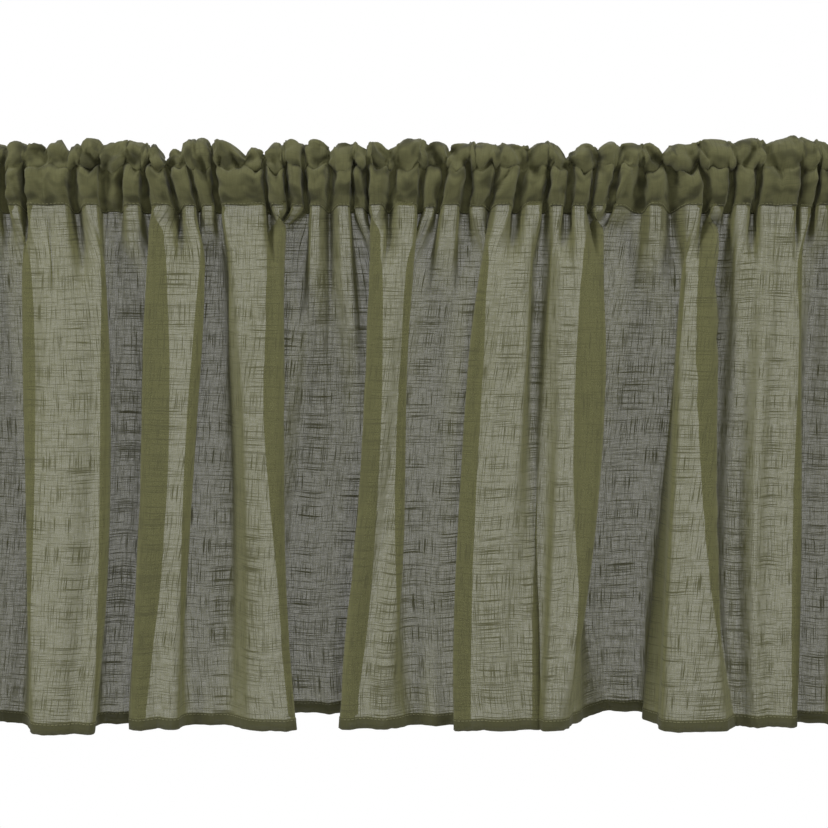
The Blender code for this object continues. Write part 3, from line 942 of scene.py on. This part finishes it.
def one_stitch(length, width):
    """One sewn stitch, lying along X: a short rod with rounded, drawn-in ends, modelled once."""
    bpy.ops.mesh.primitive_cylinder_add(
        vertices=STITCH_SIDES,
        radius=width / 2,
        depth=length * STITCH_BODY,
        rotation=(0, math.pi / 2, 0),
    )
    stitch = bpy.context.object
    bpy.ops.object.transform_apply()
    bpy.ops.object.mode_set(mode="EDIT")
    bpy.ops.mesh.select_mode(type="FACE")
    bpy.ops.mesh.select_all(action="DESELECT")
    bpy.ops.object.mode_set(mode="OBJECT")
    for side in (-1, 1):
        for face in stitch.data.polygons:
            face.select = face.normal.x * side > 0.9
        bpy.ops.object.mode_set(mode="EDIT")
        out = side * length * STITCH_END
        bpy.ops.mesh.extrude_region_move(TRANSFORM_OT_translate={"value": (out, 0, 0)})
        tip = (side * length / 2, 0, 0)
        bpy.ops.transform.resize(value=(1, STITCH_TIP, STITCH_TIP), center_override=tip)
        bpy.ops.mesh.select_all(action="DESELECT")
        bpy.ops.object.mode_set(mode="OBJECT")
    points = np.array([vertex.co for vertex in stitch.data.vertices])
    faces = [tuple(face.vertices) for face in stitch.data.polygons]
    bpy.data.objects.remove(stitch, do_unlink=True)
    return points, faces


def stitch_row(name, line, outward, pitch, length, width, material):
    """Copies of one stitch along a line on the cloth, each turned with it, joined in one mesh."""
    shape, shape_faces = one_stitch(length, width)
    along = lengths_along(line)
    middles = np.arange(pitch / 2, along[-1] - pitch / 2, pitch)
    points, faces = [], []
    for middle in middles:
        ends = [
            np.array([np.interp(middle + step, along, line[:, k]) for k in range(3)])
            for step in (-length / 2, length / 2)
        ]
        way = (ends[1] - ends[0]) / np.linalg.norm(ends[1] - ends[0])
        out = np.array([np.interp(middle, along, outward[:, k]) for k in range(3)])
        out = out - way * out.dot(way)
        out = out / np.linalg.norm(out)
        turn = np.array([way, np.cross(out, way), out])
        centre = (ends[0] + ends[1]) / 2 + out * width * STITCH_LIFT
        first = len(points) * len(shape)
        points.append(shape @ turn + centre)
        faces += [tuple(first + corner for corner in face) for face in shape_faces]
    mesh = bpy.data.meshes.new(name)
    mesh.from_pydata(np.concatenate(points).tolist(), [], faces)
    mesh.shade_smooth()
    mesh.materials.append(material)
    row = bpy.data.objects.new(name, mesh)
    bpy.context.collection.objects.link(row)
    return row


def metres(name, description, default):
    return bpy.props.FloatProperty(
        name=name, description=description, default=default, unit="LENGTH"
    )


def paint(name, description, default):
    return bpy.props.FloatVectorProperty(
        name=name, description=description, default=default, subtype="COLOR", size=3
    )


class ValanceSizes(bpy.types.PropertyGroup):
    """Sizes that a maker of the valance would change."""

    cloth: metres("Cloth", "Thickness of one layer of cloth", 0.0005)
    hem: metres("Hem", "Thickness of a doubled hem", 0.0012)
    pitch: metres("Stitch pitch", "Way from one stitch to the next", 0.003)
    stitch: metres("Stitch length", "Length of a stitch that shows", 0.0022)
    thread: metres("Thread", "Thickness of the sewing thread", 0.0005)
    floor_drop: metres("Floor", "Height of the valance's top edge above the floor", 0.95)


class ValanceColours(bpy.types.PropertyGroup):
    """Colours of the cloth, thread and stage."""

    voile: paint("Voile", "Olive cloth", (0.2, 0.198, 0.088))
    slub: paint("Slubs", "Thick dark yarns", (0.095, 0.093, 0.045))
    thread: paint("Thread", "Sewing thread", (0.25, 0.245, 0.125))
    floor: paint("Floor", "Pale floor", (0.82, 0.82, 0.82))


def settings(context):
    return context.scene.valance_sizes, context.scene.valance_colours


def panel_shares():
    """Shares of the way down of the sheet's rows: close at the seam and at the hem's sharp step."""
    hem = HEM_DEPTH / (DROP - SEAM_DROP)
    body = np.linspace(0, 1, PANEL_ROWS) ** ROW_CLOSENESS * (1 - hem - ABOVE_HEM)
    return np.concatenate([[-1], body, [1 - hem - HEM_STEP, 1 - hem + HEM_STEP, 1 - hem / 2, 1]])


class VALANCE_OT_heading(bpy.types.Operator):
    """Make the gathered rod pocket"""

    bl_idname = "valance.heading"
    bl_label = "Rod pocket"

    def execute(self, context):
        sizes, colours = settings(context)
        grid, along, down = pocket_grid(gather_columns(COLUMN_STEPS), POCKET_STEPS)
        material = voile_material("voile_doubled", colours.voile, colours.slub, DOUBLED)
        heading = mesh_from_grid("pocket_cloth", grid, along, down, material)
        thicken(heading, sizes.cloth)
        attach(heading, BODY)
        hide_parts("heading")
        return {"FINISHED"}


class VALANCE_OT_panel(bpy.types.Operator):
    """Make the hanging cloth with its folds and hems"""

    bl_idname = "valance.panel"
    bl_label = "Hanging cloth"

    def execute(self, context):
        sizes, colours = settings(context)
        shares = panel_shares()
        grid, along, level, down = panel_grid(gather_columns(COLUMN_STEPS), shares, SEAM_TUCK)
        material = voile_material("voile_sheer", colours.voile, colours.slub, SHEER)
        panel = mesh_from_grid("hanging_cloth", grid, along, level, material)
        from_side = np.minimum(along, along.max() - along)
        doubled = (down > DROP - SEAM_DROP - HEM_DEPTH) | (from_side < SIDE_HEM)
        thicken(panel, sizes.hem, np.where(doubled.ravel(), 1.0, sizes.cloth / sizes.hem))
        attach(panel, BODY)
        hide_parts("panel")
        return {"FINISHED"}


class VALANCE_OT_stitches(bpy.types.Operator):
    """Sew the stitches along the seam and the hem"""

    bl_idname = "valance.stitches"
    bl_label = "Stitches"

    def execute(self, context):
        sizes, colours = settings(context)
        columns = gather_columns(COLUMN_STEPS)
        thread = thread_material("sewing_thread", colours.thread)
        pocket, _, _ = pocket_grid(columns, POCKET_STEPS)
        panel, _, _, down = panel_grid(columns, panel_shares(), SEAM_TUCK)
        hem_stitch = DROP - SEAM_DROP - HEM_DEPTH + HEM_STITCH_DROP
        for name, grid, way, at, turn, cloth in (
            ("seam_stitches", pocket, rises(pocket), SEAM_STITCH_LIFT, 1, sizes.cloth),
            ("hem_stitches", panel, down, hem_stitch, -1, sizes.hem),
        ):
            out = line_across(surface_normals(grid) * turn, way, at)
            out = out / np.linalg.norm(out, axis=1)[:, None]
            line = line_across(grid, way, at) * MM + out * cloth / 2
            stitches = stitch_row(name, line, out, sizes.pitch, sizes.stitch, sizes.thread, thread)
            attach(stitches, BODY)
        return {"FINISHED"}


# The camera: level, at the photograph's distance and height, its lens and shift fitted to the frame
CAMERA_WAY = 1.150
CAMERA_HEIGHT = -0.0843
SENSOR = 36
FRAME_PIXELS = 828
PIXEL_SIZE = 0.000768
HORIZON_ROW = 250

# Area lights, around the valance
Light = namedtuple("Light", "name place width height power")
LIGHTS = [
    Light("key", (-1.55, -0.95, 0.15), 0.7, 1.0, 14),
    Light("fill", (1.55, -0.95, 0.15), 0.7, 1.0, 10.5),
    Light("front", (0.2, -1.7, 0.5), 0.8, 0.8, 4),
    Light("top", (0.0, -0.5, 1.4), 1.2, 0.5, 9),
    Light("back", (0.0, 1.8, 0.6), 1.6, 1.0, 9),
]
LIGHT_AIM = (0, 0, -0.22)
# The world is white to the camera, so the sheer cloth hangs before a white wall, and lights little
WORLD_SEEN = 1.0
WORLD_LIGHT = 0.17
FLOOR_RADIUS = 1.0
FLOOR_SIDES = 96
FLOOR_ROUGHNESS = 0.8
SHEER_LAYERS = 20
CLOTH_BOUNCES = 2


def aim(thing, place, target):
    thing.location = place
    thing.rotation_euler = (Vector(target) - Vector(place)).to_track_quat("-Z", "Y").to_euler()


class VALANCE_OT_stage(bpy.types.Operator):
    """Set up the floor, lights and camera"""

    bl_idname = "valance.stage"
    bl_label = "Stage"

    def execute(self, context):
        sizes, colours = settings(context)
        scene = context.scene
        bpy.ops.mesh.primitive_circle_add(
            vertices=FLOOR_SIDES,
            radius=FLOOR_RADIUS,
            fill_type="NGON",
            location=(0, 0, -sizes.floor_drop),
        )
        floor = context.object
        floor.name = "floor"
        floor.data.materials.append(plain_material("pale_floor", colours.floor, FLOOR_ROUGHNESS))
        bpy.ops.object.transform_apply()
        for light in LIGHTS:
            data = bpy.data.lights.new(light.name, "AREA")
            data.shape = "RECTANGLE"
            data.size, data.size_y, data.energy = light.width, light.height, light.power
            lamp = bpy.data.objects.new(light.name, data)
            lamp.visible_camera = False
            scene.collection.objects.link(lamp)
            aim(lamp, light.place, LIGHT_AIM)
        world = bpy.data.worlds.new("studio")
        world.use_nodes = True
        tree = world.node_tree
        background = tree.nodes["Background"]
        seen = node(tree, "ShaderNodeLightPath", (-3, 0), {}).outputs["Is Camera Ray"]
        strength = range_node(tree, (-1, 0), seen, 0, 1, WORLD_LIGHT, WORLD_SEEN)
        feed(tree, background, {"Color": (1, 1, 1, 1), "Strength": strength})
        scene.world = world
        camera = bpy.data.objects.new("camera", bpy.data.cameras.new("camera"))
        scene.collection.objects.link(camera)
        camera.location = (0, -CAMERA_WAY, CAMERA_HEIGHT)
        camera.rotation_euler = (math.pi / 2, 0, 0)
        camera.data.sensor_width = SENSOR
        camera.data.lens = SENSOR * CAMERA_WAY / (FRAME_PIXELS * PIXEL_SIZE)
        camera.data.shift_y = -(FRAME_PIXELS / 2 - HORIZON_ROW) / FRAME_PIXELS
        scene.camera = camera
        scene.view_settings.view_transform = "Standard"
        scene.cycles.transparent_max_bounces = SHEER_LAYERS
        scene.cycles.diffuse_bounces = CLOTH_BOUNCES
        return {"FINISHED"}


class VALANCE_PT_sidebar(bpy.types.Panel):
    """Lists the valance's pieces, sizes and colours"""

    bl_idname = "VALANCE_PT_sidebar"
    bl_label = "Valance"
    bl_space_type = "VIEW_3D"
    bl_region_type = "UI"
    bl_category = "Valance"

    def draw(self, context):
        for name in ("heading", "panel", "stitches", "stage"):
            self.layout.operator(f"valance.{name}")
        for group in settings(context):
            for name in group.__annotations__:
                self.layout.prop(group, name)


CLASSES = (
    ValanceSizes,
    ValanceColours,
    VALANCE_OT_heading,
    VALANCE_OT_panel,
    VALANCE_OT_stitches,
    VALANCE_OT_stage,
    VALANCE_PT_sidebar,
)


def register():
    for each in CLASSES:
        bpy.utils.register_class(each)
    bpy.types.Scene.valance_sizes = bpy.props.PointerProperty(type=ValanceSizes)
    bpy.types.Scene.valance_colours = bpy.props.PointerProperty(type=ValanceColours)


def unregister():
    del bpy.types.Scene.valance_sizes
    del bpy.types.Scene.valance_colours
    for each in reversed(CLASSES):
        bpy.utils.unregister_class(each)


def main():
    register()
    bpy.ops.valance.heading()
    bpy.ops.valance.panel()
    bpy.ops.valance.stitches()
    bpy.ops.valance.stage()


if __name__ == "__main__":
    main()
